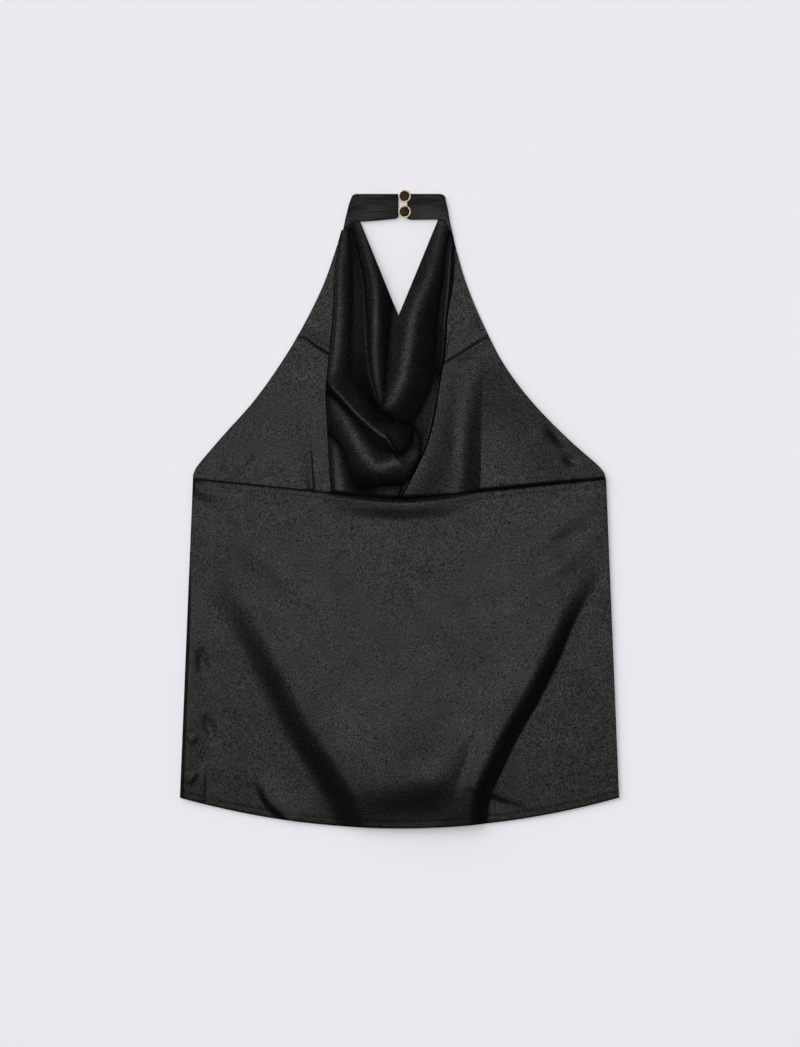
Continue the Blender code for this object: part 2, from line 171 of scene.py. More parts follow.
SIDE_FOLDS = (
    # the right side laid over the cowl
    Step("drape_right", "crisp foot", 1.4, 28.0, (
        (45.5, 150, 0.6), (41.5, 129.5, 1.8), (35.7, 94.3, 3.0), (28.4, 65, 3.8), (15.2, 35.7, 4.0),
        (2, 11.3, 3.6))),
    Step("side_trough", "crisp crest", 29.0, 105.0, (
        (89, 164, 0.0), (86, 142, 1.2), (83, 114, 3.4), (81, 76, 5.6), (80, 12, 6.6))),
    # bust darts
    Step("dart_left", "crisp foot", 0.8, 9.0, (
        (-101, 173, 0.6), (-93.5, 170.9, 0.8), (-83.9, 164, 1.0), (-72.2, 156.5, 1.0))),
    Step("dart_right", "crisp foot", 0.8, 9.0, (
        (90, 173, 0.7), (75.1, 164.3, 1.0), (60.2, 154.7, 1.0), (44.7, 145.6, 0.6))),
    # tucks of the left side
    Step("tuck_left", "crisp foot", 0.8, 7.0, ((-86, 14, 1.0), (-88, 50, 0.7), (-90.3, 75, 0.0))),
    # soft wrinkles
    Ridge("underarm_left", 3.0, ((-163, 36, 0.0), (-149, 46, 0.35), (-134, 56, 0.0))),
    Ridge("armhole_dent_upper", 5.0, ((145, 84, 0.0), (155, 75, -1.0), (166, 62, -0.1))),
    Ridge("armhole_dent_lower", 4.5, ((164, 56, 0.0), (171, 48, -0.8), (176, 42, 0.0))),
    Ridge("armhole_wrinkle_upper", 2.4, ((66, 204, 0.1), (72, 197, 0.3), (79, 180, 0.1))),
    Ridge("armhole_wrinkle_lower", 2.4, ((70, 190, 0.1), (76, 184, 0.3), (84, 170, 0.1))),
)

FRONT_FOLDS = (
    Step("main_fold_right", "crisp foot", 19.0, 75.0, (
        (66, -332, 5.6), (71, -286, 6.2), (83, -256, 6.4), (101, -219, 6.4),
        (122.5, -182, 6.0), (141, -145, 5.0), (160, -101, 3.0), (188, -51, 0.2))),
    Step("main_fold_left", "soft", 32.0, 75.0, (
        (-183, -52, 0.1), (-161, -79, 1.2), (-137, -121, 2.6), (-113, -167, 3.6),
        (-90, -211, 4.2), (-69, -243, 4.4), (-44, -285, 4.2), (-33, -315, 3.8))),
    Step("hem_slope", "soft", 46.0, 50.0, (
        (-90, -290, 0.2), (-45, -280, 2.0), (0, -272, 4.2), (32, -268, 5.0), (58, -276, 2.2))),
    Step("hem_fold_left", "crisp foot", 5.0, 16.0, (
        (-144, -266, 0.1), (-133, -288, 1.3), (-122, -301, 1.6), (-110, -311, 1.6))),
    Ridge("roll_under_seam", 2.6, (
        (-206, 26, 0.2), (-106, 16, 0.3), (0, 6.0, 0.3), (106, 16, 0.3), (206, 26, 0.2))),
    Step("slope_under_seam", "soft", 17.0, 9.0, (
        (-80, 13, 0.0), (-45, 6, 1.2), (0, 3, 2.0), (45, 6, 1.3), (80, 13, 0.0))),
    Step("slope_under_corner", "soft", 12.0, 6.0, ((-205, 22, 1.0), (-190, 16, 0.9), (-165, 12, 0.0))),
    Ridge("side_roll_left", 24.0, (
        (-219, -60, 0.3), (-219, -160, 2.4), (-219, -250, 2.6), (-219, -312, 1.4))),
    Ridge("side_pucker", 5.0, ((-197, -138, 0.0), (-197, -153, -1.2), (-197, -168, 0.0))),
    Ridge("side_crease", 4.0, ((-195, -206, 0.0), (-189, -220, -1.2), (-184, -236, 0.0))),
    Ridge("hem_crease_left", 1.6, ((-196, -254, 0.0), (-196.5, -272, 0.7), (-197, -292, 0.6))),
    Ridge("edge_pucker_upper", 2.6, ((-211, -226, 0.0), (-207, -231, 0.7), (-203, -224, 0.0))),
    Ridge("edge_pucker_lower", 2.6, ((-213, -276, 0.0), (-207, -268, 0.8), (-202, -262, 0.0))),
    Ridge("radiating_upper", 11.0, ((205, 12, 0.0), (160, -20, 0.9), (98, -60, 0.0))),
    Ridge("radiating_lower", 11.0, ((200, -24, 0.0), (165, -52, 0.8), (108, -90, 0.0))),
    Ridge("radiating_left", 12.0, ((-185, -20, 0.0), (-120, -62, 0.7), (-60, -130, 0.0))),
)

# How the cloth lies: a layer's top over what it rests on, the dip along the underbust seam,
# how soon folds rise beside a seam, how softly they rise, how far pieces lap at a seam, how
# far from a sharp valley its painted shade reaches, and from what height of its lower side it starts
LAYER = 1.3
SEAM_DIP = 0.30
SEAM_DIP_WIDTH = 0.5
SEAM_HOLD = 0.9
SOFTNESS = 0.6
SEAM_LAP = 0.04
VALLEY_REACH = 1.5
VALLEY_START = -4.0

# Where the bodice climbs from the floor onto the back panel
CLIMB_START_Y = 125.0
CLIMB_END_Y = 33.0

# Hem: the groove of its stitches and the rounding of its edge
HEM_STITCH_INSET = 4.6
HEM_GROOVE_DEPTH = 0.28
HEM_GROOVE_WIDTH = 1.3
HEM_EDGE_DEPTH = 0.35
HEM_EDGE_WIDTH = 1.6

# Meshes: the lengths that rows and columns are counted over, how they crowd at edges, how
# often the grid is settled between its edges, and how near points are merged
SIDE_LENGTH = 250.0
SIDE_WIDTH = 130.0
SIDE_COARSENESS = 1.5
COWL_LENGTH = 277.0
COWL_HALF_WIDTH = 66.0
FRONT_LENGTH = 330.0
BACK_COLUMNS = 120
BACK_ROWS = 80
ROW_CROWDING = 1.3
COLUMN_CROWDING = 1.25
SETTLE_ROUNDS = 24
COWL_MERGE = 0.05

# Ends of the seams between the sides and the cowl
SIDE_TOP_GAP = 4.0
SIDE_FOOT_Y = 18.0
COWL_TOP_GAP = 3.0

# Neckband: the rounding of its edges, and its stitch rows, set off the seam to one side
BAND_ROUNDING = 0.6
BAND_MERGE = 0.02
STITCH_INSETS = (1.4, 3.2)
STITCH_SIDE = (-0.35, 0.95)
STITCH_START = 0.6
STITCH_WIDTH = 0.8
STITCH_HEIGHT = 0.34

# Buttons: a cup on a shank, a rounded rim and a dome seated in it
RIM_WIDTH = 1.15
RIM_HEIGHT = 1.0
CUP_BASE = 0.8
CUP_EDGE = 0.3
SHANK_RADIUS = 1.5
DOME_GAP = 0.1
DOME_SIDE = 0.4
ARC_POINTS = 13
TURNED_SIDES = 64

# Edges sharper than these stay sharp when a piece is shaded smooth
CLOTH_SHARP = math.radians(60)
BAND_SHARP = math.radians(35)
BUTTON_SHARP = math.radians(50)

# Stage, in metres: the camera beside the middle of the solids, the floor under them, the
# lights, and the upward directions, 0 to 1, between which the walls' glow fades
CAMERA_OFFSET = Vector((0.0005, -0.0145, 0.0))
FLOOR_GAP = 0.0002
SOFTBOX_PLACE = Vector((0.03, 0.24, 5.5))
LOW_LIGHT_SIDE = (-3.9, 3.1)
LOW_LIGHT_REACH = 5.0
WALL_LOW = 0.15
WALL_HIGH = 0.5


# ---------------------------------------------------------------- settings

class ClothSettings(bpy.types.PropertyGroup):
    thickness: bpy.props.FloatProperty(
        name="Thickness", description="Thickness of one layer of satin", default=0.0011,
        min=0.0003, unit="LENGTH")
    spacing: bpy.props.FloatProperty(
        name="Spacing", description="Distance between the rows of the bodice's mesh",
        default=0.00095, min=0.0005, unit="LENGTH")
    front_spacing: bpy.props.FloatProperty(
        name="Front spacing", description="Distance between the rows of the front panel's mesh",
        default=0.0019, min=0.001, unit="LENGTH")
    colour: bpy.props.FloatVectorProperty(
        name="Satin", description="Colour of the satin's threads", subtype="COLOR", size=4,
        min=0.0, max=1.0, default=(0.0013, 0.0012, 0.0012, 1.0))
    roughness: bpy.props.FloatProperty(
        name="Roughness", description="Roughness of the satin face", default=0.36,
        min=0.0, max=1.0, subtype="FACTOR")
    gloss: bpy.props.FloatProperty(
        name="Gloss", description="Specular level of the satin face", default=0.078,
        min=0.0, max=1.0, subtype="FACTOR")
    grain: bpy.props.FloatProperty(
        name="Grain", description="Size of the satin's sparkle", default=0.00082, min=0.0002,
        unit="LENGTH")


class TrimSettings(bpy.types.PropertyGroup):
    gold: bpy.props.FloatVectorProperty(
        name="Gold", description="Colour of the buttons' rims", subtype="COLOR", size=4,
        min=0.0, max=1.0, default=(0.62, 0.48, 0.27, 1.0))
    enamel: bpy.props.FloatVectorProperty(
        name="Enamel", description="Colour of the buttons' domes", subtype="COLOR", size=4,
        min=0.0, max=1.0, default=(0.022, 0.017, 0.009, 1.0))
    stitch_length: bpy.props.FloatProperty(
        name="Stitch", description="Length of one topstitch", default=0.0022, min=0.001,
        unit="LENGTH")
    stitch_pitch: bpy.props.FloatProperty(
        name="Pitch", description="Distance from one topstitch to the next", default=0.0029,
        min=0.001, unit="LENGTH")


class StageSettings(bpy.types.PropertyGroup):
    floor_colour: bpy.props.FloatVectorProperty(
        name="Floor", description="Colour of the floor", subtype="COLOR", size=4,
        min=0.0, max=1.0, default=(0.825, 0.815, 0.858, 1.0))
    floor_size: bpy.props.FloatProperty(
        name="Floor size", description="Width of the floor", default=8.0, unit="LENGTH")
    camera_height: bpy.props.FloatProperty(
        name="Camera height", description="Height of the camera above the floor", default=5.0,
        unit="LENGTH")
    framed_height: bpy.props.FloatProperty(
        name="Framed height", description="Length of floor that fills the picture's height",
        default=1.047, unit="LENGTH")
    softbox_power: bpy.props.FloatProperty(
        name="Softbox", description="Power of the overhead softbox", default=140.0, min=0.0,
        unit="POWER")
    softbox_size: bpy.props.FloatProperty(
        name="Softbox size", description="Width of the overhead softbox", default=1.5,
        unit="LENGTH")
    low_strength: bpy.props.FloatProperty(
        name="Low light", description="Strength of the low light from the upper left",
        default=2.5, min=0.0)
    low_elevation: bpy.props.FloatProperty(
        name="Low light height", description="Angle of the low light above the floor",
        default=math.radians(27), subtype="ANGLE")
    low_spread: bpy.props.FloatProperty(
        name="Low light spread", description="Angle that the low light fills, which softens shadows",
        default=math.radians(60), subtype="ANGLE")
    fill: bpy.props.FloatProperty(
        name="Fill", description="Strength of the even light from overhead", default=0.13,
        min=0.0)
    wall_glow: bpy.props.FloatProperty(
        name="Wall glow", description="Strength of the even light from low all round", default=0.7,
        min=0.0)


# ---------------------------------------------------------------- shapes of the cloth

def blend(low, high, value):
    """Return a smooth 0 to 1 as value goes from low to high."""
    share = np.clip((value - low) / (high - low), 0.0, 1.0)
    return share * share * (3.0 - 2.0 * share)


def smooth_path(points, step=2.0):
    """Return the points of a Catmull-Rom curve through the given points."""
    knots = np.array(points, float)
    knots = np.vstack([2 * knots[0] - knots[1], knots, 2 * knots[-1] - knots[-2]])
    curve = []
    for before, start, end, after in zip(knots, knots[1:], knots[2:], knots[3:]):
        count = max(2, int(np.hypot(*(end - start)[:2]) / step))
        t = np.linspace(0.0, 1.0, count, endpoint=False)[:, None]
        bend = 2 * before - 5 * start + 4 * end - after
        twist = 3 * start - before - 3 * end + after
        curve.append(start + (end - before) * t / 2 + bend * t ** 2 / 2 + twist * t ** 3 / 2)
    return np.vstack(curve + [knots[-2:-1]])


def nearest_on_path(path, x, y):
    """Return distances to a path, positive on its left, and the path's height there."""
    best = np.full(x.shape, np.inf)
    side = np.ones(x.shape)
    height = np.zeros(x.shape)
    for start, end in zip(path, path[1:]):
        along = end - start
        share = ((x - start[0]) * along[0] + (y - start[1]) * along[1]) / (along[0] ** 2 + along[1] ** 2)
        share = np.clip(share, 0.0, 1.0)
        off_x = x - start[0] - share * along[0]
        off_y = y - start[1] - share * along[1]
        distance = off_x ** 2 + off_y ** 2
        closer = distance < best
        best = np.where(closer, distance, best)
        side = np.where(closer, np.sign(along[0] * off_y - along[1] * off_x), side)
        height = np.where(closer, start[2] + share * along[2], height)
    return np.sqrt(best) * side, height


def fold_height(fold, x, y):
    """Return what one fold adds to the cloth's height."""
    distance, height = nearest_on_path(smooth_path(fold.path), x, y)
    if isinstance(fold, Ridge):
        return height * np.exp(-(distance / fold.width) ** 2)
    behind = np.exp(-(np.maximum(distance, 0.0) / fold.run) ** 2)
    share = np.clip(1.0 + distance / fold.drop, 0.0, 1.0)
    drop = {
        "crisp foot": share * (2.0 - share),
        "crisp crest": share ** 2,
        "soft": share ** 2 * (3.0 - 2.0 * share)}[fold.turn]
    return height * np.where(distance > 0, behind, drop)


def relief(folds, x, y):
    """Return the height of all the folds together."""
    return sum(fold_height(fold, x, y) for fold in folds)


def roof_height(roof, x, y):
    """Return the height of one roof, below zero away from it."""
    distance, height = nearest_on_path(smooth_path(roof.path), x, y)
    return height - roof.slope * (np.hypot(distance, roof.crest) - roof.crest)


def valley_shade(x, y):
    """Return 0 to 1, how deep in the sharp valley between two roofs a point lies: the painted shade that
    dims the satin's shine there.
    """
    heights = np.sort([roof_height(roof, x, y) for roof in COWL_ROOFS], axis=0)
    return np.exp(-(heights[-1] - heights[-2]) / VALLEY_REACH) * blend(VALLEY_START, 0.0, heights[-2])


def seam_dip(x, y):
    """Return how far the cloth sinks where it is sewn at the underbust."""
    return SEAM_DIP * np.exp(-(np.abs(y - underbust_y(x)) / SEAM_DIP_WIDTH))


def sewn_down(distance, reach):
    """Return 0 at a seam, rising to 1 beyond its reach: folds are held flat where they are sewn."""
    return 1.0 - np.exp(-np.maximum(distance, 0.0) / reach)


def soft_floor(height):
    """Keep heights above the surface, with a rounded start."""
    return (height + np.sqrt(height ** 2 + SOFTNESS ** 2)) / 2


def edge_x(edge, y):
    """Return the x of an edge at y. The edge runs from top to bottom."""
    points = smooth_path([(px, py, 0.0) for px, py in edge], 4.0)[::-1]
    return np.interp(y, points[:, 1], points[:, 0])


def seam_y(seam, x):
    """Return the y of a seam at x. The seam runs from left to right."""
    points = np.array(seam)
    return np.interp(x, points[:, 0], points[:, 1])


def underbust_y(x):
    """Return the y of the underbust seam."""
    return UNDERBUST_LOW_Y + UNDERBUST_SLOPE * (np.hypot(x, UNDERBUST_ROUND) - UNDERBUST_ROUND)


def hem_y(x):
    """Return the y of the curved hem."""
    return HEM_Y + HEM_RADIUS - np.sqrt(HEM_RADIUS ** 2 - x ** 2)


def side_x(y):
    """Return half the width of the front and back panels at y."""
    share = (UNDERARM_Y - y) / (UNDERARM_Y - hem_y(HEM_HALF_WIDTH))
    return UNDERARM_HALF_WIDTH + share * (HEM_HALF_WIDTH - UNDERARM_HALF_WIDTH)


def neck_x(side_top_x, y):
    """Return the x of the neckline, or of the centre line below it."""
    share = np.maximum(y - NECK_POINT[1], 0.0) / (STRAP_TOP_Y - NECK_POINT[1])
    return NECK_POINT[0] + share * (side_top_x - NECK_POINT[0])


def bodice_level(y):
    """Return the height of the surface under the bodice: the floor, then the back panel."""
    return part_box("front_panel")[0].z / MM * blend(CLIMB_START_Y, CLIMB_END_Y, y)


def settle(left, right, bottom, top, u, v):
    """Return x, y where the columns u meet the rows v between two edges and two seams."""
    y = UNDERBUST_LOW_Y + v * (STRAP_TOP_Y - UNDERBUST_LOW_Y)
    x = np.zeros_like(u)
    for _ in range(SETTLE_ROUNDS):
        x = left(y) + u * (right(y) - left(y))
        y = bottom(x) + v * (top(x) - bottom(x))
    return x, y


# ---------------------------------------------------------------- meshes

def grid_mesh(name, columns, rows, place):
    """Return a grid mesh whose unit square is mapped by place(u, v) to millimetres."""
    sheet = bmesh.new()
    bmesh.ops.create_grid(sheet, x_segments=columns, y_segments=rows, size=0.5)
    mesh = bpy.data.meshes.new(name)
    sheet.to_mesh(mesh)
    sheet.free()
    flat = np.empty(len(mesh.vertices) * 3)
    mesh.vertices.foreach_get("co", flat)
    flat = flat.reshape(-1, 3)
    x, y, z = place(flat[:, 0] + 0.5, flat[:, 1] + 0.5)
    mesh.vertices.foreach_set("co", (np.column_stack([x, y, z]) * MM).ravel())
    return mesh


def faces_up(mesh):
    """Turn the faces of a sheet so that they look up."""
    sheet = bmesh.new()
    sheet.from_mesh(mesh)
    sheet.normal_update()
    if sum(face.normal.z for face in sheet.faces) < 0:
        bmesh.ops.reverse_faces(sheet, faces=sheet.faces)
    sheet.to_mesh(mesh)
    sheet.free()


def apply_modifiers(item):
    """Replace an object's mesh with its evaluated one."""
    bpy.context.view_layer.update()
    evaluated = item.evaluated_get(bpy.context.evaluated_depsgraph_get())
    mesh = bpy.data.meshes.new_from_object(evaluated)
    item.modifiers.clear()
    item.data = mesh


def add_cloth(name, mesh, material, thickness, node):
    faces_up(mesh)
    item = bpy.data.objects.new(name, mesh)
    bpy.context.scene.collection.objects.link(item)
    solid = item.modifiers.new("thickness", "SOLIDIFY")
    solid.thickness = thickness
    solid.offset = -1.0
    apply_modifiers(item)
    item.data.shade_smooth()
    item.data.set_sharp_from_angle(angle=CLOTH_SHARP)
    item.data.materials.clear()
    item.data.materials.append(material)
    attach(item, "root")
    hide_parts(node)
    return item


def store_shade(mesh, shade):
    """Keep a value for each vertex that the satin reads as painted shade: how deep in a fold it lies, where
    its shine is dimmed.
    """
    flat = np.empty(len(mesh.vertices) * 3)
    mesh.vertices.foreach_get("co", flat)
    x, y = flat.reshape(-1, 3)[:, :2].T / MM
    attribute = mesh.attributes.new("painted_fold_shade", "FLOAT", "POINT")
    attribute.data.foreach_set("value", shade(x, y).astype(np.float32))


# ---------------------------------------------------------------- materials

class Nodes:
    """Adds shader nodes to a material and links them."""

    def __init__(self, name):
        self.material = bpy.data.materials.new(name)
        self.material.use_nodes = True
        self.tree = self.material.node_tree
        self.shader = self.tree.nodes["Principled BSDF"]

    def add(self, kind, inputs=(), **settings):
        """Return a new node with these inputs, each a value or another node's output."""
        node = self.tree.nodes.new(kind)
        for key, value in settings.items():
            setattr(node, key, value)
        for socket, value in dict(inputs).items():
            if isinstance(value, bpy.types.NodeSocket):
                self.tree.links.new(value, node.inputs[socket])
            else:
                node.inputs[socket].default_value = value
        return node

    def set(self, socket, value):
        """Give the shader a value or another node's output."""
        if isinstance(value, bpy.types.NodeSocket):
            self.tree.links.new(value, self.shader.inputs[socket])
        else:
            self.shader.inputs[socket].default_value = value


def satin_material(name, cloth, glow=1.0, swell=0.0003, run=(1.0, 1.0, 1.0)):
    """Black satin: a fine sparkling grain on a face that swells softly along `run`, its shine dimmed as
    painted shade deep in folds.
    """
    nodes = Nodes(name)
    place = nodes.add("ShaderNodeTexCoord").outputs["Object"]
    threads = nodes.add("ShaderNodeMapping", {"Vector": place, "Scale": (1.0, 0.55, 1.0)}).outputs["Vector"]
    grain = nodes.add("ShaderNodeTexNoise", {
        "Vector": threads, "Scale": 1.0 / cloth.grain, "Detail": 1.0, "Roughness": 0.6})
    along = nodes.add("ShaderNodeMapping", {"Vector": place, "Scale": run}).outputs["Vector"]
    clouds = nodes.add("ShaderNodeTexNoise", {"Vector": along, "Scale": 42.0, "Detail": 2.0})
    swelling = nodes.add("ShaderNodeBump", {
        "Height": clouds.outputs["Fac"], "Strength": 1.0, "Distance": swell})
    shade = nodes.add("ShaderNodeMapRange", {
        "Value": grain.outputs["Fac"], "From Min": 0.3, "From Max": 0.7, "To Min": 0.75, "To Max": 1.3})
    tint = nodes.add("ShaderNodeVectorMath", {
        0: cloth.colour[:3], "Scale": shade.outputs["Result"]}, operation="SCALE")
    rough = nodes.add("ShaderNodeMapRange", {
        "Value": clouds.outputs["Fac"], "From Min": 0.3, "From Max": 0.7,
        "To Min": cloth.roughness - 0.015, "To Max": cloth.roughness + 0.02})
    bump = nodes.add("ShaderNodeBump", {
        "Height": grain.outputs["Fac"], "Strength": 0.7, "Distance": 0.12 * cloth.grain,
        "Normal": swelling.outputs["Normal"]})
    # Painted light: `glow` scales the shine, so one satin gives a brighter copy on the cowl and a darker
    # one on the band
    sparkle = nodes.add("ShaderNodeMapRange", {
        "Value": grain.outputs["Fac"], "From Min": 0.3, "From Max": 0.7,
        "To Min": 0.1 * cloth.gloss * glow, "To Max": 2.2 * cloth.gloss * glow})
    # Painted shade: the shine is dimmed by the stored fold value deep in the valleys between folds
    painted_fold_shade = nodes.add("ShaderNodeAttribute", attribute_name="painted_fold_shade")
    share_outside_painted_shade = nodes.add("ShaderNodeMath", {
        0: 1.0, 1: painted_fold_shade.outputs["Fac"]}, operation="SUBTRACT", use_clamp=True)
    shine = nodes.add("ShaderNodeMath", {
        0: sparkle.outputs["Result"], 1: share_outside_painted_shade.outputs["Value"]}, operation="MULTIPLY")
    nodes.set("Base Color", tint.outputs["Vector"])
    nodes.set("Roughness", rough.outputs["Result"])
    nodes.set("Normal", bump.outputs["Normal"])
    nodes.set("Specular IOR Level", shine.outputs["Value"])
    nodes.set("Specular Tint", (1.0, 0.99, 0.95, 1.0))
    return nodes.material


def thread_material(name, cloth):
    """Black sewing thread, duller than the satin that it sinks into."""
    nodes = Nodes(name)
    place = nodes.add("ShaderNodeTexCoord").outputs["Object"]
    twist = nodes.add("ShaderNodeTexWave", {"Vector": place, "Scale": 1800.0, "Distortion": 0.4})
    bump = nodes.add("ShaderNodeBump", {
        "Height": twist.outputs["Fac"], "Strength": 0.4, "Distance": 0.00008})
    nodes.set("Base Color", tuple(cloth.colour))
    nodes.set("Roughness", 0.5)
    nodes.set("Specular IOR Level", 0.02)
    nodes.set("Normal", bump.outputs["Normal"])
    return nodes.material


def gold_material(name, trim):
    """Polished gold plate, slightly uneven, a little duller in patches."""
    nodes = Nodes(name)
    place = nodes.add("ShaderNodeTexCoord").outputs["Object"]
    wear = nodes.add("ShaderNodeTexNoise", {"Vector": place, "Scale": 420.0, "Detail": 4.0})
    rough = nodes.add("ShaderNodeMapRange", {
        "Value": wear.outputs["Fac"], "From Min": 0.3, "From Max": 0.7, "To Min": 0.34, "To Max": 0.50})
    bump = nodes.add("ShaderNodeBump", {
        "Height": wear.outputs["Fac"], "Strength": 0.25, "Distance": 0.00015})
    nodes.set("Base Color", tuple(trim.gold))
    nodes.set("Metallic", 1.0)
    nodes.set("Roughness", rough.outputs["Result"])
    nodes.set("Normal", bump.outputs["Normal"])
    return nodes.material


def enamel_material(name, trim):
    """Dark glossy enamel with a faint olive cloud in it."""
    nodes = Nodes(name)
    place = nodes.add("ShaderNodeTexCoord").outputs["Object"]
    cloud = nodes.add("ShaderNodeTexNoise", {"Vector": place, "Scale": 260.0, "Detail": 3.0})
    share = nodes.add("ShaderNodeMapRange", {
        "Value": cloud.outputs["Fac"], "From Min": 0.35, "From Max": 0.65, "To Min": 0.5, "To Max": 1.6})
    tint = nodes.add("ShaderNodeVectorMath", {
        0: trim.enamel[:3], "Scale": share.outputs["Result"]}, operation="SCALE")
    nodes.set("Base Color", tint.outputs["Vector"])
    nodes.set("Roughness", 0.36)
    nodes.set("Specular IOR Level", 0.04)
    return nodes.material


def floor_material(name, colour):
    """Matt pale paper with a barely seen tooth."""
    nodes = Nodes(name)
    place = nodes.add("ShaderNodeTexCoord").outputs["Object"]
    tooth = nodes.add("ShaderNodeTexNoise", {"Vector": place, "Scale": 900.0, "Detail": 2.0})
    bump = nodes.add("ShaderNodeBump", {
        "Height": tooth.outputs["Fac"], "Strength": 0.05, "Distance": 0.0001})
    nodes.set("Base Color", tuple(colour))
    nodes.set("Roughness", 0.9)
    nodes.set("Specular IOR Level", 0.1)
    nodes.set("Normal", bump.outputs["Normal"])
    return nodes.material


def shared(name, make, *settings):
    """Return a material by name, made the first time it is asked for."""
    return bpy.data.materials.get(name) or make(name, *settings)


# ---------------------------------------------------------------- pieces

def side_mesh(name, armhole, inner, seam_end_y, spacing):
    """Return one side of the bodice, from its armhole edge to its seam with the cowl."""
    lap = math.copysign(SEAM_LAP, inner[0][0])
    top_y = inner[0][1] - SIDE_TOP_GAP
    rows = int(SIDE_LENGTH / spacing)
    columns = int(SIDE_WIDTH / spacing)
    reach = (top_y - SIDE_FOOT_Y) / (seam_end_y - SIDE_FOOT_Y)

    def place(u, v):
        x, y = settle(
            lambda y: edge_x(armhole, y),
            lambda y: edge_x(inner, y) - lap,
            underbust_y,
            lambda x: seam_end_y - SEAM_LAP,
            1 - (1 - u) ** COLUMN_CROWDING, v ** ROW_CROWDING * reach)
        held = sewn_down(y - underbust_y(x), SEAM_HOLD)
        height = held * (soft_floor(relief(SIDE_FOLDS, x, y)) - SOFTNESS / 2) - seam_dip(x, y)
        return x, y, bodice_level(y) + LAYER + height
    return grid_mesh(name, columns, rows, place)


def cowl_half_mesh(name, armhole, cowl_edge, neck_top_x, seam, spacing):
    """Return the half of the cowl between an outer edge and the neckline and centre line."""
    seam_top_y = cowl_edge[0][1] - COWL_TOP_GAP
    rows = int(COWL_LENGTH / spacing)
    columns = int(COWL_HALF_WIDTH / spacing)

    def top(x):
        tilt = blend(0.0, 1.0, (x - NECK_POINT[0]) / (neck_top_x - NECK_POINT[0]))
        return STRAP_TOP_Y + tilt * (seam_y(seam, x) - STRAP_TOP_Y) - SEAM_LAP

    def outer(y):
        return np.where(y > seam_top_y, edge_x(armhole, y), edge_x(cowl_edge, y))

    def place(u, v):
        x, y = settle(
            outer, lambda y: neck_x(neck_top_x, y), underbust_y, top, u, v ** ROW_CROWDING)
        folds = np.maximum.reduce([roof_height(roof, x, y) for roof in COWL_ROOFS])
        held = sewn_down(y - underbust_y(x), SEAM_HOLD) * sewn_down(np.abs(x - outer(y)), SEAM_HOLD)
        height = held * (soft_floor(folds + relief(COWL_FOLDS, x, y)) - SOFTNESS / 2) - seam_dip(x, y)
        return x, y, bodice_level(y) + LAYER + height
    return grid_mesh(name, columns, rows, place)


def join_meshes(name, meshes, merge):
    """Return one mesh of several, with vertices closer than merge made one."""
    sheet = bmesh.new()
    for mesh in meshes:
        sheet.from_mesh(mesh)
    bmesh.ops.remove_doubles(sheet, verts=sheet.verts, dist=merge)
    bmesh.ops.recalc_face_normals(sheet, faces=sheet.faces)
    joined = bpy.data.meshes.new(name)
    sheet.to_mesh(joined)
    sheet.free()
    return joined


def front_mesh(name, spacing):
    """Return the lower front, from the underbust seam to the curved hem."""
    def place(u, v):
        x, y = settle(lambda y: -side_x(y), side_x, hem_y, underbust_y, u, 1 - (1 - v) ** ROW_CROWDING)
        from_hem = y - hem_y(x)
        groove = HEM_GROOVE_DEPTH * np.exp(-((from_hem - HEM_STITCH_INSET) / HEM_GROOVE_WIDTH) ** 2)
        edge = HEM_EDGE_DEPTH * blend(HEM_EDGE_WIDTH, 0.0, from_hem)
        held = sewn_down(underbust_y(x) - y, SEAM_HOLD) * sewn_down(side_x(y) - np.abs(x), SEAM_HOLD)
        height = held * (soft_floor(relief(FRONT_FOLDS, x, y)) - SOFTNESS / 2) - seam_dip(x, y)
        return x, y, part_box("front_panel")[0].z / MM + LAYER + height - groove - edge
    return grid_mesh(name, int(2 * HEM_HALF_WIDTH / spacing), int(FRONT_LENGTH / spacing), place)


def back_mesh(name):
    """Return the flat back, whose straight top edge lies under the bodice."""
    def place(u, v):
        x, y = settle(
            lambda y: -side_x(y), side_x, hem_y, lambda x: np.full_like(x, UNDERARM_Y), u, v)
        return x, y, np.full_like(x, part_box("back_panel")[1].z / MM)
    return grid_mesh(name, BACK_COLUMNS, BACK_ROWS, place)


def band_object(name, outline, material):
    """Return one half of the neckband: two layers pressed flat, with rounded edges."""
    low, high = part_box(name.replace("_cloth", ""))
    curve = bpy.data.curves.new(name, "CURVE")
    curve.dimensions = "2D"
    curve.fill_mode = "BOTH"
    curve.bevel_depth = BAND_ROUNDING * MM
    curve.bevel_resolution = 3
    curve.offset = -BAND_ROUNDING * MM
    curve.extrude = (high.z - low.z) / 2 - BAND_ROUNDING * MM
    spline = curve.splines.new("POLY")
    spline.points.add(len(outline) - 1)
    spline.use_cyclic_u = True
    for knot, (x, y) in zip(spline.points, outline):
        knot.co = (x * MM, y * MM, 0.0, 1.0)
    item = bpy.data.objects.new(name, curve)
    bpy.context.scene.collection.objects.link(item)
    bpy.context.view_layer.update()
    mesh = bpy.data.meshes.new_from_object(item.evaluated_get(bpy.context.evaluated_depsgraph_get()))
    bpy.data.objects.remove(item)
    sheet = bmesh.new()
    sheet.from_mesh(mesh)
    bmesh.ops.remove_doubles(sheet, verts=sheet.verts, dist=BAND_MERGE * MM)
    bmesh.ops.triangulate(sheet, faces=[face for face in sheet.faces if len(face.verts) > 4])
    bmesh.ops.translate(sheet, verts=sheet.verts, vec=(0, 0, (low.z + high.z) / 2))
    sheet.to_mesh(mesh)
    sheet.free()
    item = bpy.data.objects.new(name, mesh)
    bpy.context.scene.collection.objects.link(item)
    mesh.materials.clear()
    mesh.materials.append(material)
    mesh.shade_smooth()
    mesh.set_sharp_from_angle(angle=BAND_SHARP)
    return item


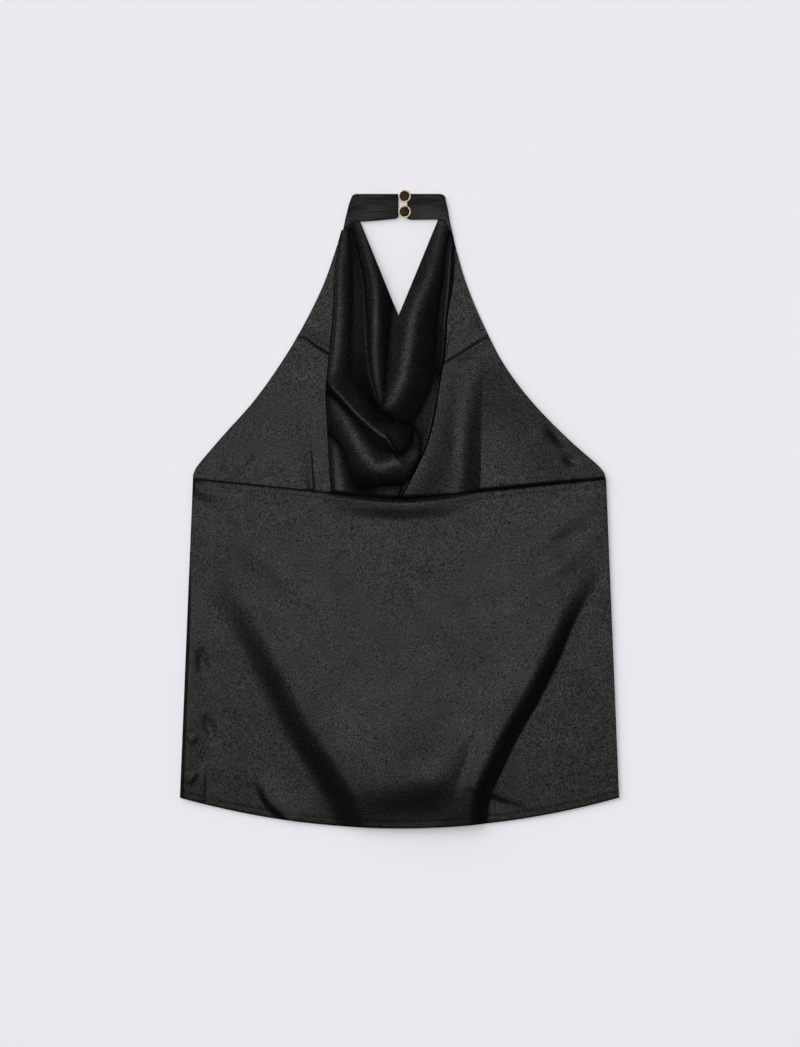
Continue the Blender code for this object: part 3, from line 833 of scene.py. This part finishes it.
def stitch_row(name, path, settings, top_z, material):
    """Return a row of topstitches along a path of x, y points, joined as one mesh."""
    points = smooth_path([(x, y, 0.0) for x, y in path], 0.4)
    steps = np.hypot(*np.diff(points[:, :2], axis=0).T)
    along = np.concatenate([[0.0], np.cumsum(steps)])
    sheet = bmesh.new()
    pitch = settings.stitch_pitch / MM
    length = settings.stitch_length / MM
    for start in np.arange(STITCH_START, along[-1] - length, pitch):
        x0, y0 = (np.interp(start, along, points[:, axis]) for axis in (0, 1))
        x1, y1 = (np.interp(start + length, along, points[:, axis]) for axis in (0, 1))
        turn = math.atan2(y1 - y0, x1 - x0)
        made = bmesh.ops.create_uvsphere(sheet, u_segments=8, v_segments=6, radius=0.5)
        for vertex in made["verts"]:
            local_x = vertex.co.x * length
            local_y = vertex.co.y * STITCH_WIDTH
            x = (x0 + x1) / 2 + local_x * math.cos(turn) - local_y * math.sin(turn)
            y = (y0 + y1) / 2 + local_x * math.sin(turn) + local_y * math.cos(turn)
            z = top_z + vertex.co.z * STITCH_HEIGHT
            vertex.co = Vector((x, y, z)) * MM
    mesh = bpy.data.meshes.new(name)
    sheet.to_mesh(mesh)
    sheet.free()
    item = bpy.data.objects.new(name, mesh)
    bpy.context.scene.collection.objects.link(item)
    mesh.materials.append(material)
    mesh.shade_smooth()
    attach(item, "root")
    return item


def rim_profile(radius, low_z, high_z):
    """Return the outline of a button: a shank, a cup and a rounded rim round the dome's seat."""
    seat_z = high_z - RIM_HEIGHT
    side_z = seat_z - CUP_BASE
    turns = np.radians(np.linspace(0, 180, ARC_POINTS))
    rim_radius = RIM_WIDTH / 2
    centre = radius - rim_radius
    crest = [(centre - rim_radius * math.cos(turn), high_z - rim_radius + rim_radius * math.sin(turn))
             for turn in turns]
    return ([(0.0, seat_z), (centre - rim_radius, seat_z)] + crest
            + [(radius, side_z + CUP_EDGE), (radius - CUP_EDGE, side_z), (SHANK_RADIUS, side_z),
               (SHANK_RADIUS, low_z), (0.0, low_z)])


def dome_profile(radius, low_z, high_z):
    """Return the outline of a low dome with a short upright side."""
    side_z = low_z + DOME_SIDE
    arc = [(radius * math.sin(turn), side_z + (high_z - side_z) * math.cos(turn))
           for turn in np.radians(np.linspace(0, 90, ARC_POINTS))]
    return arc + [(radius, low_z), (0.0, low_z)]


def turned_object(name, profile, node, material):
    """Return an outline of radius, z points turned round the middle of a node's box."""
    low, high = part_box(node)
    sheet = bmesh.new()
    ring = [sheet.verts.new(Vector((radius, 0.0, z)) * MM) for radius, z in profile]
    edges = [sheet.edges.new(pair) for pair in zip(ring, ring[1:])]
    bmesh.ops.spin(sheet, geom=ring + edges, axis=(0, 0, 1), cent=(0, 0, 0), steps=TURNED_SIDES,
                   angle=math.tau, use_merge=True)
    bmesh.ops.remove_doubles(sheet, verts=sheet.verts, dist=0.001 * MM)
    bmesh.ops.recalc_face_normals(sheet, faces=sheet.faces)
    bmesh.ops.translate(sheet, verts=sheet.verts,
                        vec=((low.x + high.x) / 2, (low.y + high.y) / 2, 0.0))
    mesh = bpy.data.meshes.new(name)
    sheet.to_mesh(mesh)
    sheet.free()
    mesh.materials.append(material)
    mesh.shade_smooth()
    mesh.set_sharp_from_angle(angle=BUTTON_SHARP)
    item = bpy.data.objects.new(name, mesh)
    bpy.context.scene.collection.objects.link(item)
    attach(item, "root")
    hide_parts(node)
    return item


# ---------------------------------------------------------------- operators

class HALTER_OT_back(bpy.types.Operator):
    """Make the flat back panel"""
    bl_idname = "halter.back"
    bl_label = "Back Panel"

    def execute(self, context):
        cloth = context.scene.halter_cloth
        mesh = back_mesh("back_panel_cloth")
        low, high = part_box("back_panel")
        satin = shared("satin_back", satin_material, cloth)
        add_cloth("back_panel_cloth", mesh, satin, high.z - low.z, "back_panel")
        return {"FINISHED"}


class HALTER_OT_front(bpy.types.Operator):
    """Make the lower front with its two long folds and its hem"""
    bl_idname = "halter.front"
    bl_label = "Front Panel"

    def execute(self, context):
        cloth = context.scene.halter_cloth
        mesh = front_mesh("front_panel_cloth", cloth.front_spacing / MM)
        satin = shared("satin_front", satin_material, cloth)
        add_cloth("front_panel_cloth", mesh, satin, cloth.thickness, "front_panel")
        return {"FINISHED"}


class HALTER_OT_sides(bpy.types.Operator):
    """Make the two sides of the bodice with their bust darts"""
    bl_idname = "halter.sides"
    bl_label = "Bodice Sides"

    def execute(self, context):
        cloth = context.scene.halter_cloth
        satin = shared("satin_sides", satin_material, cloth)
        spacing = SIDE_COARSENESS * cloth.spacing / MM
        rows = (
            ("side_left", ARMHOLE_LEFT, COWL_EDGE_LEFT, BAND_SEAM_LEFT[0][1]),
            ("side_right", ARMHOLE_RIGHT, COWL_EDGE_RIGHT, BAND_SEAM_RIGHT[-1][1]))
        for node, armhole, inner, seam_end_y in rows:
            mesh = side_mesh(node + "_cloth", armhole, inner, seam_end_y, spacing)
            add_cloth(node + "_cloth", mesh, satin, cloth.thickness, node)
        return {"FINISHED"}


class HALTER_OT_cowl(bpy.types.Operator):
    """Make the draped cowl and its two straps"""
    bl_idname = "halter.cowl"
    bl_label = "Cowl"

    def execute(self, context):
        cloth = context.scene.halter_cloth
        spacing = cloth.spacing / MM
        halves = [
            cowl_half_mesh("half", ARMHOLE_LEFT, COWL_EDGE_LEFT, NECK_LEFT_X, BAND_SEAM_LEFT, spacing),
            cowl_half_mesh("half", ARMHOLE_RIGHT, COWL_EDGE_RIGHT, NECK_RIGHT_X, BAND_SEAM_RIGHT, spacing)]
        mesh = join_meshes("cowl_cloth", halves, COWL_MERGE * MM)
        # The cowl's valleys carry painted shade that dims the satin's shine
        store_shade(mesh, valley_shade)
        # A brighter copy of the satin: its shine raised by 15% as painted highlight
        satin = shared("satin_cowl", satin_material, cloth, 1.15)
        add_cloth("cowl_cloth", mesh, satin, cloth.thickness, "cowl")
        return {"FINISHED"}


class HALTER_OT_neckband(bpy.types.Operator):
    """Make the two halves of the neckband and their topstitching"""
    bl_idname = "halter.neckband"
    bl_label = "Neckband"

    def execute(self, context):
        scene = context.scene
        # A darker copy of the satin: its shine lowered by 15% as painted shade
        satin = shared("satin_band", satin_material, scene.halter_cloth, 0.85, 0.0011, (0.5, 1.7, 1.0))
        thread = shared("black_thread", thread_material, scene.halter_cloth)
        top_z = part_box("neckband_left")[1].z / MM
        for node, outline in (("neckband_left", BAND_SEAM_LEFT + BAND_EDGE_LEFT),
                              ("neckband_right", BAND_SEAM_RIGHT + BAND_EDGE_RIGHT)):
            band = band_object(node + "_cloth", outline, satin)
            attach(band, "root")
            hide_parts(node)
        for row, inset in enumerate(STITCH_INSETS):
            path = [(x + STITCH_SIDE[0] * inset, y + STITCH_SIDE[1] * inset) for x, y in BAND_SEAM_LEFT]
            stitch_row(f"band_stitches_{row}", path[1:], scene.halter_trim, top_z, thread)
        return {"FINISHED"}


class HALTER_OT_buttons(bpy.types.Operator):
    """Finish the buttons, their domes and the loops that hold them"""
    bl_idname = "halter.buttons"
    bl_label = "Buttons"

    def execute(self, context):
        scene = context.scene
        gold = shared("gold_plate", gold_material, scene.halter_trim)
        enamel = shared("olive_black_enamel", enamel_material, scene.halter_trim)
        cord = shared("loop_cord", thread_material, scene.halter_cloth)
        for place in ("upper", "lower"):
            loop = frame["nodes"]["loop_" + place]
            loop.data.materials.clear()
            loop.data.materials.append(cord)
            low, high = (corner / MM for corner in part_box("button_" + place))
            rim = high.x - low.x
            button = turned_object("button_" + place + "_metal", rim_profile(rim / 2, low.z, high.z),
                                   "button_" + place, gold)
            low, high = (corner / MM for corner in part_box("dome_" + place))
            dome = turned_object("dome_" + place + "_enamel",
                                 dome_profile(rim / 2 - RIM_WIDTH - DOME_GAP, low.z, high.z),
                                 "dome_" + place, enamel)
        return {"FINISHED"}


class HALTER_OT_stage(bpy.types.Operator):
    """Set up the floor, the soft lights and the camera straight above"""
    bl_idname = "halter.stage"
    bl_label = "Stage"

    @staticmethod
    def soft_room(stage):
        """Return a dim room whose pale walls glow a little near the floor."""
        world = bpy.data.worlds.new("soft_room")
        world.use_nodes = True
        nodes = world.node_tree.nodes
        links = world.node_tree.links
        direction = nodes.new("ShaderNodeTexCoord")
        upward = nodes.new("ShaderNodeSeparateXYZ")
        links.new(direction.outputs["Generated"], upward.inputs["Vector"])
        strength = nodes.new("ShaderNodeMapRange")
        links.new(upward.outputs["Z"], strength.inputs["Value"])
        strength.inputs["From Min"].default_value = WALL_LOW
        strength.inputs["From Max"].default_value = WALL_HIGH
        strength.inputs["To Min"].default_value = stage.wall_glow
        strength.inputs["To Max"].default_value = stage.fill
        back = nodes["Background"]
        back.inputs["Color"].default_value = (0.98, 0.97, 1.0, 1.0)
        links.new(strength.outputs["Result"], back.inputs["Strength"])
        return world

    def execute(self, context):
        scene = context.scene
        stage = scene.halter_stage
        low, high = CAD_BOUNDS
        centre = (low + high) / 2 + CAMERA_OFFSET

        sheet = bmesh.new()
        bmesh.ops.create_grid(sheet, x_segments=1, y_segments=1, size=stage.floor_size / 2)
        mesh = bpy.data.meshes.new("floor")
        sheet.to_mesh(mesh)
        sheet.free()
        floor = bpy.data.objects.new("floor", mesh)
        scene.collection.objects.link(floor)
        floor.location.z = low.z - FLOOR_GAP
        mesh.materials.append(floor_material("pale_floor", stage.floor_colour))

        lens_data = bpy.data.cameras.new("camera")
        lens_data.sensor_width = 36.0
        lens_data.lens = lens_data.sensor_width * stage.camera_height / stage.framed_height
        camera = bpy.data.objects.new("camera", lens_data)
        camera.location = (centre.x, centre.y, stage.camera_height)
        scene.collection.objects.link(camera)
        scene.camera = camera

        softbox = bpy.data.lights.new("softbox", "AREA")
        softbox.shape = "DISK"
        softbox.size = stage.softbox_size
        softbox.energy = stage.softbox_power
        self.add_light(scene, softbox, SOFTBOX_PLACE)
        low_light = bpy.data.lights.new("low_light", "SUN")
        low_light.angle = stage.low_spread
        low_light.energy = stage.low_strength
        height = LOW_LIGHT_REACH * math.tan(stage.low_elevation)
        self.add_light(scene, low_light, Vector((*LOW_LIGHT_SIDE, height)))
        scene.world = self.soft_room(stage)
        scene.view_settings.view_transform = "Standard"
        return {"FINISHED"}

    @staticmethod
    def add_light(scene, light, place):
        """Put a light at a place, turned to the garment."""
        item = bpy.data.objects.new(light.name, light)
        item.location = place
        item.rotation_euler = (-place).to_track_quat("-Z", "Y").to_euler()
        scene.collection.objects.link(item)


class HALTER_PT_panel(bpy.types.Panel):
    """Lists the steps that build the top"""
    bl_idname = "HALTER_PT_panel"
    bl_label = "Halter Neck Top"
    bl_space_type = "VIEW_3D"
    bl_region_type = "UI"
    bl_category = "Halter Top"

    def draw(self, context):
        for operator in STEPS:
            self.layout.operator(operator.bl_idname)
        for group in ("halter_cloth", "halter_trim", "halter_stage"):
            box = self.layout.box()
            settings = getattr(context.scene, group)
            for name in settings.__annotations__:
                box.prop(settings, name)


STEPS = (HALTER_OT_back, HALTER_OT_front, HALTER_OT_sides, HALTER_OT_cowl, HALTER_OT_neckband,
         HALTER_OT_buttons, HALTER_OT_stage)
CLASSES = (ClothSettings, TrimSettings, StageSettings) + STEPS + (HALTER_PT_panel,)


def register():
    """Add the settings, the steps and the panel."""
    for item in CLASSES:
        bpy.utils.register_class(item)
    bpy.types.Scene.halter_cloth = bpy.props.PointerProperty(type=ClothSettings)
    bpy.types.Scene.halter_trim = bpy.props.PointerProperty(type=TrimSettings)
    bpy.types.Scene.halter_stage = bpy.props.PointerProperty(type=StageSettings)


def unregister():
    """Take the settings, the steps and the panel away."""
    del bpy.types.Scene.halter_stage
    del bpy.types.Scene.halter_trim
    del bpy.types.Scene.halter_cloth
    for item in reversed(CLASSES):
        bpy.utils.unregister_class(item)


def clear_startup():
    """Remove what the startup file holds beside the frame."""
    kept = set(frame["nodes"].values()) | set(frame["bodies"].values())
    for item in list(bpy.data.objects):
        if item not in kept:
            bpy.data.objects.remove(item, do_unlink=True)


def main():
    """Build the top in the running Blender."""
    register()
    clear_startup()
    bpy.ops.halter.back()
    bpy.ops.halter.front()
    bpy.ops.halter.sides()
    bpy.ops.halter.cowl()
    bpy.ops.halter.neckband()
    bpy.ops.halter.buttons()
    bpy.ops.halter.stage()


if __name__ == "__main__":
    main()
